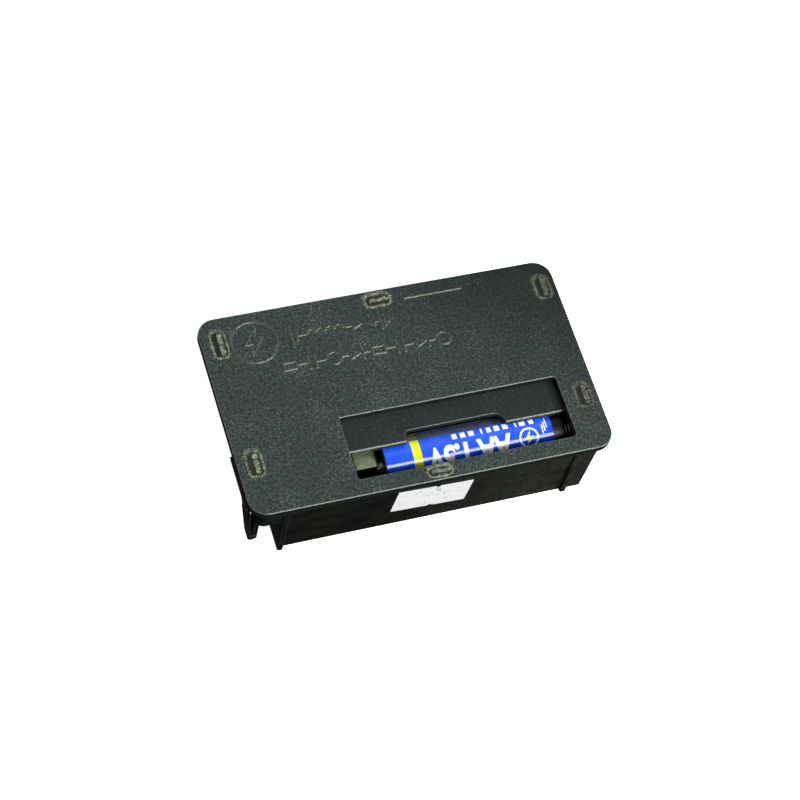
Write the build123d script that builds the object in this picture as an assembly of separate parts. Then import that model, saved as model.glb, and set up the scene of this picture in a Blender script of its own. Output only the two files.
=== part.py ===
from build123d import *
import math
import os

# Battery spark igniter, in millimetres.
# The origin is on the base, below the lid's centre: +X runs along the battery towards its
# flat end, +Y runs to the back, +Z is up.

# Driving dimensions of the case
lid_length = 98.0
lid_width = 58.0
lid_thickness = 2.0
lid_corner_radius = 5.0
lid_edge_radius = 0.35
window_edge_radius = 0.3
window_corner_radius = 0.8
height = 24.0
wall = 1.8
tub_left = -39.4
tub_right = 45.3
tub_half_width = 28.0
draft = 0.8
shelf_left = -47.0
shelf_depth = 6.3
fin_width = 1.3
fin_length = 10.0
fin_stand = 0.4
fin_right_x = 38.5

# Battery bay and its sliding cover
window_left = -19.9
window_right = 39.4
window_front = -24.3
window_back = -6.3
cover_thickness = 1.5
cover_gap = 0.3
cover_front = -15.5
cover_depth = 19.7
cover_open_travel = 9.2
cover_margin = 1.4
notch_left = -3.9
notch_right = 23.2
notch_depth = 3.2
notch_left_radius = 1.4
notch_right_radius = 3.0

# AA cell
cell_diameter = 14.5
cell_length = 50.5
cell_y = -16.5
cell_z = 12.2
nub_diameter = 5.5
nub_length = 1.2
nub_tip_x = -11.7

# Side latch
latch_back = -10.0
latch_front = -25.5
latch_outer_x = -49.3
latch_tip_z = 3.4
latch_top_z = 21.7
latch_bar_height = 1.1
latch_leg_length = 3.3
latch_pivot_z = 6.1
latch_tip_x = -46.2
latch_inner_x = -45.0
latch_sheet = 1.0

# Paper label on the front wall
label_x = 0.4
label_z = 12.85
label_length = 20.5
label_height = 10.9
label_thickness = 0.12
label_turn = -3.5
label_cut = 1.0
label_cut_x = 0.6

# Circuit board
board_left = -35.5
board_right = 40.0
board_front = -5.0
board_back = 24.0
board_bottom = 4.0
board_thickness = 1.6
screw_inset_x = 4.0
screw_inset_y = 3.0

# High-voltage coil
coil_y = 17.0
coil_rise = 7.0
coil_left = -10.0
coil_right = 26.0
coil_sections = 5
coil_flange = 1.0
coil_core_radius = 2.5
coil_former_radius = 3.6
coil_flange_radius = 6.4
coil_winding_radius = 5.8

# Small parts on the board: left end and centre y, or centre x and centre y
resistor_places = [(-32.0, 13.5), (-32.0, 17.0), (30.5, 12.5)]
resistor_length = 6.3
diode_places = [(-21.0, 14.0), (-21.0, 17.5)]
diode_length = 4.2
semiconductor_x = 29.0
transistor_y = -0.5
thyristor_y = 6.5
lead_pitch = 1.27
choke_place = (35.5, 5.0)
electrolytic_place = (19.0, 2.0)

# Places worked out from the driving dimensions
lid_bottom = height - lid_thickness
shelf_bottom = lid_bottom - shelf_depth
draft_angle = math.degrees(math.atan(draft / lid_bottom))
cover_top = lid_bottom - cover_gap
cover_bottom = cover_top - cover_thickness
cover_left = window_left - cover_margin
cover_right = window_right + cover_margin
cell_radius = cell_diameter / 2
cell_end_x = nub_tip_x + cell_length
cell_shoulder_x = nub_tip_x + nub_length
band_start_x = cell_end_x - 3.2
partition_y = -6.8
partition_thickness = 1.2
partition_top = 18.8
end_wall_x = window_left - 2.6
board_top = board_bottom + board_thickness
fit_gap = 0.05
contact_face_x = nub_tip_x - fit_gap
contact_span = 6.2
contact_thickness = 0.4
contact_nose_radius = 0.8
contact_top = 17.1
contact_front_y = cell_y - 1.9
contact_back_y = cell_y + 5.9
lead_radius = 0.7
lead_z = board_bottom + board_thickness / 2
positive_lead_x = contact_face_x - contact_span - lead_radius - fit_gap
negative_plate_x = cell_end_x + 3.0
negative_lead_x = negative_plate_x - lead_radius - fit_gap
saddle_places = (2.0, 27.0)
saddle_width = 3.0
saddle_clearance = 0.3
spring_wire = 0.35
spring_radius = 3.6
spring_height = 2.2
spring_turns = 3.0
screw_places = [
    (x, y)
    for x in (board_left + screw_inset_x, board_right - screw_inset_x)
    for y in (board_front + screw_inset_y, board_back - screw_inset_y)
]

# Heat stakes: centre x, centre y, length along X, length along Y
stakes = [
    (-44.2, 21.0, 5.0, 9.2),
    (0.0, 25.9, 8.2, 4.8),
    (45.0, 20.8, 5.2, 8.0),
    (45.0, -13.2, 5.2, 8.0),
    (1.1, -26.5, 7.8, 4.0),
    (-44.4, -14.4, 5.2, 8.4),
]
stake_recess = 0.5
mark_line = 0.55
mark_rise = 0.2
stem_inset = 1.5

# Raised signs on the lid: x and y of the ring's centre, of each row's start and of the bar's centre
ring_place = (-35.2, 20.0)
ring_radius = 6.4
tall_row_place = (-25.4, 19.6)
low_row_place = (-28.0, 11.2)
low_row_step = 6.0
thin_bar_place = (15.2, 25.0)
thin_bar_size = (16.0, 0.4)

# Blade terminals in the shelf's floor: centre y, width, length below the floor
tab_x = -42.4
tab_thickness = 0.8
switch_tabs = [(-7.0, 4.8, 7.0), (-0.4, 4.8, 7.0)]
earth_tab = (7.0, 6.3, 7.5)
electrode_tab = (13.6, 2.8, 8.5)


def block(x0, x1, y0, y1, z0, z1):
    """A box from its six faces."""
    centre = ((x0 + x1) / 2, (y0 + y1) / 2, (z0 + z1) / 2)
    return Pos(*centre) * Box(x1 - x0, y1 - y0, z1 - z0)


def rounded_block(x0, x1, y0, y1, z0, z1, radius):
    """A box whose upright edges are rounded."""
    outline = RectangleRounded(x1 - x0, y1 - y0, radius)
    return Pos((x0 + x1) / 2, (y0 + y1) / 2, z0) * extrude(outline, z1 - z0)


def rod_x(x0, x1, y, z, radius):
    """A cylinder along X."""
    return Pos((x0 + x1) / 2, y, z) * Rot(0, 90, 0) * Cylinder(radius, x1 - x0)


def tube_x(x0, x1, y, z, outer, inner):
    """A tube along X."""
    return rod_x(x0, x1, y, z, outer) - rod_x(x0 - 1, x1 + 1, y, z, inner)


def post(x, y, z0, z1, radius):
    """A cylinder along Z."""
    return Pos(x, y, (z0 + z1) / 2) * Cylinder(radius, z1 - z0)


def prism_y(points, y0, y1):
    """An outline of (x, z) points, extruded from y0 to y1."""
    outline = Plane.XZ * make_face(Polyline(*points, close=True))
    return Pos(0, y1, 0) * extrude(outline, y1 - y0)


def drafted_block(x0, x1, y0, y1, z_top, z_bottom, radius):
    """A block that narrows downwards by the mould's draft."""
    outline = Pos((x0 + x1) / 2, (y0 + y1) / 2, z_top) * RectangleRounded(x1 - x0, y1 - y0, radius)
    return extrude(outline, amount=z_top - z_bottom, dir=(0, 0, -1), taper=draft_angle)


def make_tub():
    """The case under the lid, with its shelf, fins, battery bay and latch leg."""
    deep = drafted_block(tub_left, tub_right, -tub_half_width, tub_half_width, lid_bottom, 0, 1.0)
    inner = tub_half_width - wall
    deep_hollow = drafted_block(tub_left + wall, tub_right - wall, -inner, inner, lid_bottom, wall, 0.6)
    shelf = rounded_block(
        shelf_left, tub_left + 6, -tub_half_width, tub_half_width, shelf_bottom, lid_bottom, 2.5
    )
    shelf_hollow = rounded_block(
        shelf_left + wall, tub_left + 8, -inner, inner, shelf_bottom + wall, lid_bottom, 1.2
    )
    tub = (deep + shelf) - deep_hollow - shelf_hollow
    fin_edge = tub_half_width + fin_stand
    for x, length in ((tub_left - fin_stand, fin_length), (fin_right_x, wall)):
        for side in (-1, 1):
            y0, y1 = sorted((side * (fin_edge - length), side * fin_edge))
            fin = block(x, x + fin_width, y0, y1, 0, lid_bottom)
            foot = fin.faces().sort_by(Axis.Z)[0].edges().sort_by(Axis.Y)
            tub += chamfer(foot[0] if side < 0 else foot[-1], fin_stand)
    partition_back = partition_y + partition_thickness
    partition = block(end_wall_x, tub_right - 1.0, partition_y, partition_back, 1, partition_top)
    for x in (positive_lead_x, negative_lead_x):
        partition -= block(x - 1, x + 1, partition_y - 1, partition_back + 1, lead_z - 1, lead_z + 1.4)
    end_wall = block(
        end_wall_x, end_wall_x + partition_thickness, -inner - 0.2, partition_back, 1, partition_top
    )
    tub += partition + end_wall
    for x, y, along_x, along_y in stakes:
        half_x, half_y = along_x / 2 - stem_inset + 0.6, along_y / 2 - stem_inset + 0.6
        if along_y > along_x:
            half_x += 0.6
        tub += block(x - half_x, x + half_x, y - half_y, y + half_y, lid_bottom - 3, lid_bottom)
    for x, y in screw_places:
        tub += post(x, y, wall - 0.5, board_bottom, 2.6) - post(x, y, wall, board_bottom + 1, 0.9)
    leg_bottom, leg_top = latch_pivot_z + 0.1, shelf_bottom + 0.5
    leg = block(latch_inner_x - 1.4, latch_inner_x, latch_front, latch_back, leg_bottom, leg_top)
    leg &= latch_side_view()
    nose = prism_y([(tub_right - 1.0, 20.9), (tub_right + 1.6, 20.9), (tub_right - 1.0, 14.0)], -7, 7)
    return tub + leg + nose


def bar_mark(x, y, along_x, along_y, turn=0):
    """A plain raised bar."""
    return Pos(x, y) * Rot(0, 0, turn) * RectangleRounded(along_x, along_y, 0.15)


def box_mark(x, y, along_x, along_y):
    """A raised rectangular outline."""
    inside = Pos(x, y) * Rectangle(along_x - 2 * mark_line, along_y - 2 * mark_line)
    return Pos(x, y) * RectangleRounded(along_x, along_y, 0.4) - inside


def ring_mark(x, y, radius):
    """A raised ring."""
    return Pos(x, y) * (Circle(radius) - Circle(radius - mark_line))


def arrow_mark(x, y, size, turn):
    """A solid raised triangle."""
    corners = [(-size / 2, size / 2), (-size / 2, -size / 2), (size / 2, 0)]
    return Pos(x, y) * Rot(0, 0, turn) * make_face(Polyline(*corners, close=True))


def tall_row(x, y):
    """A cell, a coil, a spark gap and an earth sign in one line."""
    row = [bar_mark(x, y, mark_line, 6.4), bar_mark(x + 1.5, y, mark_line, 3.2)]
    row.append(bar_mark(x + 3.0, y, 2.6, mark_line))
    above = Pos(x + 9.0, y + 2.0) * Rectangle(20, 4)
    row += [ring_mark(x + 5.6 + 2.5 * i, y, 1.5) & above for i in range(4)]
    row += [bar_mark(x + 16.0, y, 2.4, mark_line), arrow_mark(x + 18.0, y, 2.6, 0)]
    row += [arrow_mark(x + 21.6, y, 2.6, 180), bar_mark(x + 23.4, y, 1.6, mark_line)]
    row += [bar_mark(x + 24.4 + 1.1 * i, y, mark_line, 5.6 - 1.9 * i) for i in range(3)]
    return row


def low_row(x, y):
    """Small circuit signs joined by short bars."""
    at = [x + low_row_step * i for i in range(8)]
    row = [bar_mark(at[i] + 2.9, y, 1.8, mark_line) for i in range(7)]
    row += [box_mark(at[i], y, 4.0, 2.6) for i in (0, 4)]
    row += [bar_mark(at[i] + side, y, mark_line, 4.2) for i in (1, 5) for side in (-0.9, 0.9)]
    row += [bar_mark(at[i] + side, y, 1.5, mark_line) for i in (1, 5) for side in (-1.8, 1.8)]
    row += [ring_mark(at[i], y, 2.1) for i in (2, 7)]
    row += [arrow_mark(at[i] - 0.2, y, 3.2, 0) for i in (3, 6)]
    row += [bar_mark(at[i] + 1.7, y, mark_line, 4.0) for i in (3, 6)]
    return row


def make_relief():
    """Raised signs on the lid: a bolt in a ring, two rows of circuit signs and a thin bar."""
    bolt = [(1.6, 4.4), (-2.6, -0.7), (-0.3, -0.7), (-1.5, -4.4), (2.6, 0.9), (0.4, 0.9)]
    marks = [ring_mark(*ring_place, ring_radius)]
    marks.append(Pos(*ring_place) * make_face(Polyline(*bolt, close=True)))
    marks += tall_row(*tall_row_place) + low_row(*low_row_place)
    marks.append(bar_mark(*thin_bar_place, *thin_bar_size))
    return [Pos(0, 0, height - 0.1) * extrude(mark, 0.1 + mark_rise) for mark in marks]


def make_lid():
    """The flat lid with its window, stake pockets and raised marks."""
    end, front = lid_length / 2, lid_width / 2
    lid = rounded_block(-end, end, -front, front, lid_bottom, height, lid_corner_radius)
    lid = fillet(lid.faces().sort_by(Axis.Z)[-1].edges(), lid_edge_radius)
    window = (window_left, window_right, window_front, window_back)
    lid -= rounded_block(*window, lid_bottom - 1, height + 1, window_corner_radius)
    top_rims = lid.faces().sort_by(Axis.Z)[-1].inner_wires()
    lid = fillet(top_rims[0].edges(), window_edge_radius)
    for x, y, along_x, along_y in stakes:
        half_x, half_y = along_x / 2, along_y / 2
        corner = min(half_x, half_y) - 0.4
        pocket = (x - half_x, x + half_x, y - half_y, y + half_y)
        lid -= rounded_block(*pocket, height - stake_recess, height + 1, corner)
        slot_x, slot_y = half_x - stem_inset, half_y - stem_inset
        slot = (x - slot_x, x + slot_x, y - slot_y, y + slot_y)
        lid -= rounded_block(*slot, lid_bottom - 1, height, 0.4)
    for mark in make_relief():
        lid += mark
    return lid


def make_heat_stakes():
    """Stems from the tub's rim through the lid, melted over into flat heads."""
    pieces = []
    for x, y, along_x, along_y in stakes:
        half_x, half_y = along_x / 2 - fit_gap, along_y / 2 - fit_gap
        stem_x, stem_y = along_x / 2 - stem_inset - fit_gap, along_y / 2 - stem_inset - fit_gap
        head = rounded_block(
            x - half_x, x + half_x, y - half_y, y + half_y,
            height - stake_recess, height - 0.1, min(half_x, half_y) - 0.4
        )
        stem = rounded_block(x - stem_x, x + stem_x, y - stem_y, y + stem_y, lid_bottom, height - 0.3, 0.3)
        pieces.append(head + stem)
    return pieces


def make_cover():
    """The sliding battery cover, with a finger notch in its front edge."""
    cover = rounded_block(
        cover_left, cover_right, cover_front, cover_front + cover_depth, cover_bottom, cover_top, 0.6
    )
    cover = chamfer(cover.faces().sort_by(Axis.Z)[-1].edges().filter_by(Axis.X).sort_by(Axis.Y)[0], 0.3)
    notch = block(
        notch_left, notch_right, cover_front - 4, cover_front + notch_depth, cover_bottom - 1, cover_top + 1
    )
    uprights = notch.edges().filter_by(Axis.Z).group_by(Axis.Y)[-1].sort_by(Axis.X)
    notch = fillet(uprights[-1], notch_right_radius)
    uprights = notch.edges().filter_by(Axis.Z).group_by(Axis.X)[0].sort_by(Axis.Y)
    return cover - fillet(uprights[-1], notch_left_radius)


def make_guide(side):
    """A rail under the lid that carries one end of the cover."""
    inner = cover_right + 0.2 if side > 0 else cover_left - 0.2
    lip = inner - side * 0.8
    outer = inner + side * 1.3
    y0, y1 = wall - tub_half_width + 0.3, cover_front + cover_depth + cover_open_travel + 1.0
    web_x = sorted((inner, outer))
    lip_x = sorted((lip, outer))
    web = block(*web_x, y0, y1, cover_bottom - 0.9, lid_bottom)
    ledge = block(*lip_x, y0, y1, cover_bottom - 0.9, cover_bottom - 0.15)
    stop = block(*lip_x, y1 - 0.8, y1, cover_bottom - 0.9, lid_bottom)
    return web + ledge + stop


def latch_side_view():
    """The latch's outline seen from its side: a leg at the front and a long bar along the top."""
    leg_back = latch_front + latch_leg_length
    bar_bottom = latch_top_z - latch_bar_height
    outline = [
        (latch_front, height),
        (latch_front, latch_tip_z + 1.5),
        (latch_front + 0.8, 0),
        (leg_back - 0.9, 0),
        (leg_back, latch_tip_z + 4.0),
        (leg_back, bar_bottom - 1.2),
        (leg_back + 1.2, bar_bottom),
        (latch_back - 0.5, bar_bottom),
        (latch_back, bar_bottom + 0.5),
        (latch_back, height),
    ]
    plate = Plane.YZ * make_face(Polyline(*outline, close=True))
    return Pos(shelf_left - 5, 0, 0) * extrude(plate, 10)


def make_latch():
    """The sprung outer leg of the side latch and the bend at its foot."""
    foot = latch_pivot_z - 0.1
    outline = [
        (latch_outer_x, latch_top_z),
        (latch_outer_x, latch_top_z - 3.3),
        (latch_tip_x - 1.2, latch_tip_z + 1.1),
        (latch_tip_x - 0.7, latch_tip_z + 0.3),
        (latch_tip_x, latch_tip_z),
        (latch_tip_x + 0.7, latch_tip_z + 0.3),
        (latch_inner_x, latch_tip_z + 1.1),
        (latch_inner_x, foot),
        (latch_inner_x - 1.4, foot),
        (latch_inner_x - 1.4, foot - 0.7),
        (latch_inner_x - 1.7, foot + 0.3),
        (latch_outer_x + latch_sheet + 0.2, latch_top_z - 1.6),
        (latch_outer_x + latch_sheet, latch_top_z),
    ]
    return prism_y(outline, latch_front, latch_back) & latch_side_view()


def make_cell():
    """The AA cell's pieces, coaxial along X."""
    can_start, can_end = cell_shoulder_x + 0.5, cell_end_x - 0.3
    can = tube_x(can_start, can_end, cell_y, cell_z, cell_radius - 0.2, cell_radius - 0.6)
    sleeve = tube_x(cell_shoulder_x + 0.3, band_start_x, cell_y, cell_z, cell_radius, cell_radius - 0.2)
    nub = rod_x(nub_tip_x, cell_shoulder_x, cell_y, cell_z, nub_diameter / 2)
    flange = rod_x(cell_shoulder_x, cell_shoulder_x + 0.5, cell_y, cell_z, 4.4)
    ring = tube_x(cell_shoulder_x, cell_shoulder_x + 0.5, cell_y, cell_z, cell_radius - 0.2, 4.4)
    filling = rod_x(cell_shoulder_x + 0.5, cell_end_x - 0.7, cell_y, cell_z, cell_radius - 0.6)
    base = rod_x(cell_end_x - 0.7, cell_end_x, cell_y, cell_z, 6.0)
    base += tube_x(cell_end_x - 0.7, cell_end_x - 0.3, cell_y, cell_z, cell_radius - 0.6, 5.9)
    rim = tube_x(band_start_x, cell_end_x - 0.3, cell_y, cell_z, cell_radius - 0.02, cell_radius - 0.2)
    return {
        "cell_can": can,
        "cell_sleeve": sleeve,
        "cell_positive_cap": nub + flange,
        "cell_insulating_ring": ring,
        "cell_filling": filling,
        "cell_negative_cap": base,
        "cell_end_band": rim,
    }


def make_cradle():
    """Two saddles on the bay's floor that the cell lies in."""
    pieces = []
    for x in saddle_places:
        saddle = block(x, x + saddle_width, cell_y - 6.0, cell_y + 6.0, wall, cell_z - 2.0)
        seat_radius = cell_radius + saddle_clearance
        pieces.append(saddle - rod_x(x - 1, x + saddle_width + 1, cell_y, cell_z, seat_radius))
    return pieces


def make_positive_contact():
    """A springy strip bent over a post, bearing on the cell's nub."""
    t = contact_thickness
    left = contact_face_x - contact_span
    y0, y1 = contact_front_y, contact_back_y
    front_leg = block(contact_face_x - t, contact_face_x, y0, y1, 7.0, contact_top)
    shelf = block(left, contact_face_x, y0, y1, contact_top - t, contact_top)
    back_leg = block(left, left + t, y0, y1, 5.0, contact_top)
    strip = front_leg + shelf + back_leg
    bends = strip.edges().filter_by(Axis.Y).group_by(Axis.Z)[-1].sort_by(Axis.X)
    strip = fillet(bends[-1], contact_nose_radius)
    bends = strip.edges().filter_by(Axis.Y).group_by(Axis.Z)[-1].sort_by(Axis.X)
    return fillet(bends[0], contact_thickness)


def make_contact_post():
    """The block that the positive contact is hooked over."""
    x0 = contact_face_x - contact_span + contact_thickness + 0.1
    x1 = contact_face_x - 1.6
    return block(x0, x1, contact_front_y + 0.3, contact_back_y - 0.3, wall, contact_top - 0.5)


def make_negative_spring():
    """A coil spring between the cell's flat end and its contact plate."""
    start = cell_end_x + spring_wire + fit_gap
    path = Helix(pitch=spring_height / spring_turns, height=spring_height, radius=spring_radius)
    profile = Plane(origin=path @ 0, z_dir=path % 0) * Circle(spring_wire)
    coil = sweep(profile, path=path, is_frenet=True)
    return Pos(start, cell_y, cell_z) * Rot(0, 90, 0) * coil


def make_negative_plate():
    """The contact plate behind the spring, with a tail for its lead."""
    plate = rounded_block(-5.0, 5.0, -5.0, 5.0, 0, 0.3, 0.8)
    return Pos(negative_plate_x, cell_y, cell_z) * Rot(0, 90, 0) * plate


def make_label():
    """A small paper label stuck on the front wall."""
    lean = math.radians(draft_angle)
    wall_y = -tub_half_width + draft * (lid_bottom - label_z) / lid_bottom
    outward = (0, -math.cos(lean), -math.sin(lean))
    face = Plane(origin=(label_x, wall_y, label_z), x_dir=(1, 0, 0), z_dir=outward)
    sheet = Rectangle(label_length, label_height)
    for side in (-1, 1):
        sheet -= Pos(label_cut_x, side * label_height / 2) * Rot(0, 0, 45) * Rectangle(label_cut, label_cut)
    return face * Rot(0, 0, label_turn) * extrude(sheet, label_thickness)


def make_board():
    """The circuit board with its four screw holes."""
    board = block(board_left, board_right, board_front, board_back, board_bottom, board_top)
    for x, y in screw_places:
        board -= post(x, y, board_bottom - 1, board_top + 1, 1.3)
    return board


def make_board_screws():
    """Four pan-head screws that hold the board to the tub's posts."""
    screws = []
    for x, y in screw_places:
        head = post(x, y, board_top, board_top + 1.5, 2.3)
        shank = post(x, y, wall + 0.1, board_top, 0.85)
        slot = block(x - 3, x + 3, y - 0.3, y + 0.3, board_top + 0.9, board_top + 2)
        screws.append(head + shank - slot)
    return screws


def make_spark_coil():
    """The high-voltage coil: ferrite core, sectioned former and its windings."""
    y, z = coil_y, board_top + coil_rise
    x0, x1 = coil_left, coil_right
    core = rod_x(x0 - 2.0, x1 + 2.0, y, z, coil_core_radius)
    former = tube_x(x0, x1, y, z, coil_former_radius, coil_core_radius + fit_gap)
    step = (x1 - x0 - coil_flange) / coil_sections
    windings = []
    for i in range(coil_sections + 1):
        flange_x = x0 + i * step
        former += tube_x(flange_x, flange_x + coil_flange, y, z, coil_flange_radius, 3.0)
        if i < coil_sections:
            start, end = flange_x + coil_flange + fit_gap, flange_x + step - fit_gap
            windings.append(tube_x(start, end, y, z, coil_winding_radius, coil_former_radius + fit_gap))
    for foot_x in (x0, x0 + coil_sections * step):
        former += block(foot_x, foot_x + coil_flange, y - 5.0, y + 5.0, board_top, z - 4.5)
    return {
        "spark_coil_core": core,
        "spark_coil_former": former,
        "spark_coil_primary": windings[-1:],
        "spark_coil_secondary": windings[:-1],
    }


def make_converter():
    """The small step-up transformer: two core halves on a wound former."""
    x, y, z = -23.0, 6.0, board_top
    gap = 0.03
    ring = block(x - 6, x + 6, y - 5, y + 5, z + 0.6, z + 10.6)
    ring -= block(x - 4, x + 4, y - 6, y + 6, z + 2.6, z + 8.6)
    lower = ring & block(x - 7, x + 7, y - 6, y + 6, z, z + 5.6 - gap)
    upper = ring & block(x - 7, x + 7, y - 6, y + 6, z + 5.6 + gap, z + 12)
    former = block(x - 3.9, x + 3.9, y - 5.6, y + 5.6, z + 2.7, z + 8.5) - block(
        x - 3.2, x + 3.2, y - 4.6, y + 4.6, z + 2.2, z + 9.2
    )
    winding = block(x - 3.1, x + 3.1, y - 4.5, y + 4.5, z + 2.8, z + 8.4)
    feet = block(x - 6, x + 6, y - 5, y + 5, z, z + 0.6)
    return {
        "converter_core_lower": lower,
        "converter_core_upper": upper,
        "converter_former": former,
        "converter_winding": winding,
        "converter_base": feet,
    }


def make_small_parts():
    """The board's other components."""
    z = board_top
    film = rounded_block(-7, 11, -3, 4.5, z + 0.2, z + 11.5, 0.6)
    electrolytic = post(*electrolytic_place, z + 0.3, z + 11.0, 4.0)
    electrolytic = fillet(electrolytic.edges().sort_by(Axis.Z)[-1], 0.4)
    packages = []
    leads = []
    for y in (transistor_y, thyristor_y):
        package = post(semiconductor_x, y, z + 2.5, z + 7.2, 2.4)
        packages.append(package & block(semiconductor_x - 3, semiconductor_x + 3, y - 1.4, y + 3.5, z, z + 9))
        for i in (-1, 0, 1):
            x = semiconductor_x + i * lead_pitch
            leads.append(block(x - 0.22, x + 0.22, y - 0.02, y + 0.42, z, z + 2.5))
    resistors = [rod_x(x, x + resistor_length, y, z + 1.4, 1.15) for x, y in resistor_places]
    diodes = [rod_x(x, x + diode_length, y, z + 1.3, 0.95) for x, y in diode_places]
    bands = [tube_x(x + 2.9, x + 3.7, y, z + 1.3, 1.05, 0.95) for x, y in diode_places]
    choke = post(*choke_place, z, z + 8.0, 3.0)
    return {
        "storage_capacitor": film,
        "smoothing_capacitor": electrolytic,
        "switching_transistor": packages[0],
        "trigger_thyristor": packages[1],
        "semiconductor_leads": leads,
        "resistors": resistors,
        "rectifier_diodes": diodes,
        "diode_bands": bands,
        "filter_choke": choke,
    }


def make_tab(y, width, drop):
    """A flat blade terminal that passes down through the shelf's floor."""
    half = width / 2
    shelf_top = shelf_bottom + wall
    blade = block(tab_x, tab_x + tab_thickness, y - half, y + half, shelf_bottom - drop, shelf_top + 2.4)
    tip = blade.faces().sort_by(Axis.Z)[0].edges().filter_by(Axis.X)
    blade = chamfer(tip, 0.9)
    x0, x1 = tab_x - 0.9, tab_x + tab_thickness + 0.9
    collar = block(x0, x1, y - half - 0.8, y + half + 0.8, shelf_top, shelf_top + 0.8)
    return blade + collar


def make_terminals():
    """The blades for the switch leads, the earth lead and the electrode lead."""
    return {
        "switch_terminals": [make_tab(*tab) for tab in switch_tabs],
        "earth_terminal": make_tab(*earth_tab),
        "electrode_terminal": make_tab(*electrode_tab),
    }


def wire_path(points, radius, bend):
    """A round wire along straight runs joined by arcs."""
    path = FilletPolyline(*points, radius=bend)
    return sweep(Plane(origin=path @ 0, z_dir=path % 0) * Circle(radius), path=path)


def make_wires():
    """The insulated leads inside the case."""
    wires = {}
    for name, x in (("positive_lead", positive_lead_x), ("negative_lead", negative_lead_x)):
        y = cell_y + 3.5
        corners = [(x, y, lead_z + 4.2), (x, y, lead_z), (x, board_front, lead_z)]
        wires[name] = wire_path(corners, lead_radius, 2.0)
    end_y = electrode_tab[0]
    corners = [(-10.1, 17.0, 17.2), (-26.0, 17.0, 19.0), (-37.0, end_y, 19.3), (-41.5, end_y, 19.3)]
    wires["electrode_lead"] = wire_path(corners, 1.0, 3.0)
    return wires


def cut_tab_slots(tub):
    """Slots in the shelf's floor for the blade terminals."""
    x0, x1 = tab_x - fit_gap, tab_x + tab_thickness + fit_gap
    for y, width, _ in switch_tabs + [earth_tab, electrode_tab]:
        half = width / 2 + fit_gap
        tub -= block(x0, x1, y - half, y + half, shelf_bottom - 1, shelf_bottom + wall + 0.1)
    return tub


nodes = {
    "housing_tub": cut_tab_slots(make_tub()),
    "lid_plate": make_lid(),
    "heat_stakes": make_heat_stakes(),
    "battery_cover": make_cover(),
    "cover_guide_left": make_guide(-1),
    "cover_guide_right": make_guide(1),
    "side_latch": make_latch(),
    "cell_cradle": make_cradle(),
    "positive_contact": make_positive_contact(),
    "contact_post": make_contact_post(),
    "negative_spring": make_negative_spring(),
    "negative_contact": make_negative_plate(),
    "front_label": make_label(),
    "circuit_board": make_board(),
    "board_screws": make_board_screws(),
}
nodes.update(make_cell())
nodes.update(make_spark_coil())
nodes.update(make_converter())
nodes.update(make_small_parts())
nodes.update(make_terminals())
nodes.update(make_wires())

os.makedirs("parts", exist_ok=True)
for name, shape in nodes.items():
    if isinstance(shape, list):
        shape = Compound(children=shape)
    shape.label = name
    export_step(shape, f"parts/{name}.step")
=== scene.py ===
import math
import bmesh
import bpy
from mathutils import Matrix, Vector


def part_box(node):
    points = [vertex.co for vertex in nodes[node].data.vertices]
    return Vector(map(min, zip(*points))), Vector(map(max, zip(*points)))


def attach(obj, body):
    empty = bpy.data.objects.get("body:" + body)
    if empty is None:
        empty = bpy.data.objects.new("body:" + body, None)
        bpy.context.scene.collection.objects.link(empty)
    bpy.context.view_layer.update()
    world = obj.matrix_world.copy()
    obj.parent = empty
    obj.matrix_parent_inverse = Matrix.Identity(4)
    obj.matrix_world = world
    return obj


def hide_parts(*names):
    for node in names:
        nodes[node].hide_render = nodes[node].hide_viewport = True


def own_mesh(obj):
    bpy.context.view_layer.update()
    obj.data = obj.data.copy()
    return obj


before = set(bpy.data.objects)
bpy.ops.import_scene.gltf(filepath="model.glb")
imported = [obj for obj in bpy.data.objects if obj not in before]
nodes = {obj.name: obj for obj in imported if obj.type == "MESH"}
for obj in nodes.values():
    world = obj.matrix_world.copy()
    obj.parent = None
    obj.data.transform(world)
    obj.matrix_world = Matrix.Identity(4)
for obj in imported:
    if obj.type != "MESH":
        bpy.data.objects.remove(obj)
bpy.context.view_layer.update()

MM = 0.001
LID_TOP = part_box("heat_stakes")[1].z + 0.1 * MM
CELL_LOW, CELL_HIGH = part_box("cell_sleeve")
CELL_RADIUS = (CELL_HIGH.z - CELL_LOW.z) / 2
CELL_Y = (CELL_LOW.y + CELL_HIGH.y) / 2
CELL_Z = (CELL_LOW.z + CELL_HIGH.z) / 2


# ---------------------------------------------------------------- tools

def colour(code):
    """Linear colour of an sRGB hex code."""
    parts = [int(code[i:i + 2], 16) / 255 for i in (0, 2, 4)]
    return [p / 12.92 if p <= 0.04045 else ((p + 0.055) / 1.055) ** 2.4 for p in parts] + [1.0]


def per(size_mm):
    """Texture scale for a pattern whose features are this many millimetres across."""
    return 1.0 / (size_mm * MM)


def add(tree, kind, inputs=None, stops=None, **settings):
    """Adds a node with its settings; each input takes a value or another node's output."""
    node = tree.nodes.new(kind)
    for key, value in settings.items():
        setattr(node, key, value)
    for key, value in (inputs or {}).items():
        if isinstance(value, bpy.types.Node):
            value = value.outputs[0]
        if isinstance(value, bpy.types.NodeSocket):
            tree.links.new(value, node.inputs[key])
        else:
            node.inputs[key].default_value = value
    if stops:
        ramp = node.color_ramp
        while len(ramp.elements) < len(stops):
            ramp.elements.new(0.5)
        for element, (position, tint) in zip(ramp.elements, stops):
            element.position = position
            element.color = colour(tint) if isinstance(tint, str) else [tint, tint, tint, 1.0]
    return node


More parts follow.
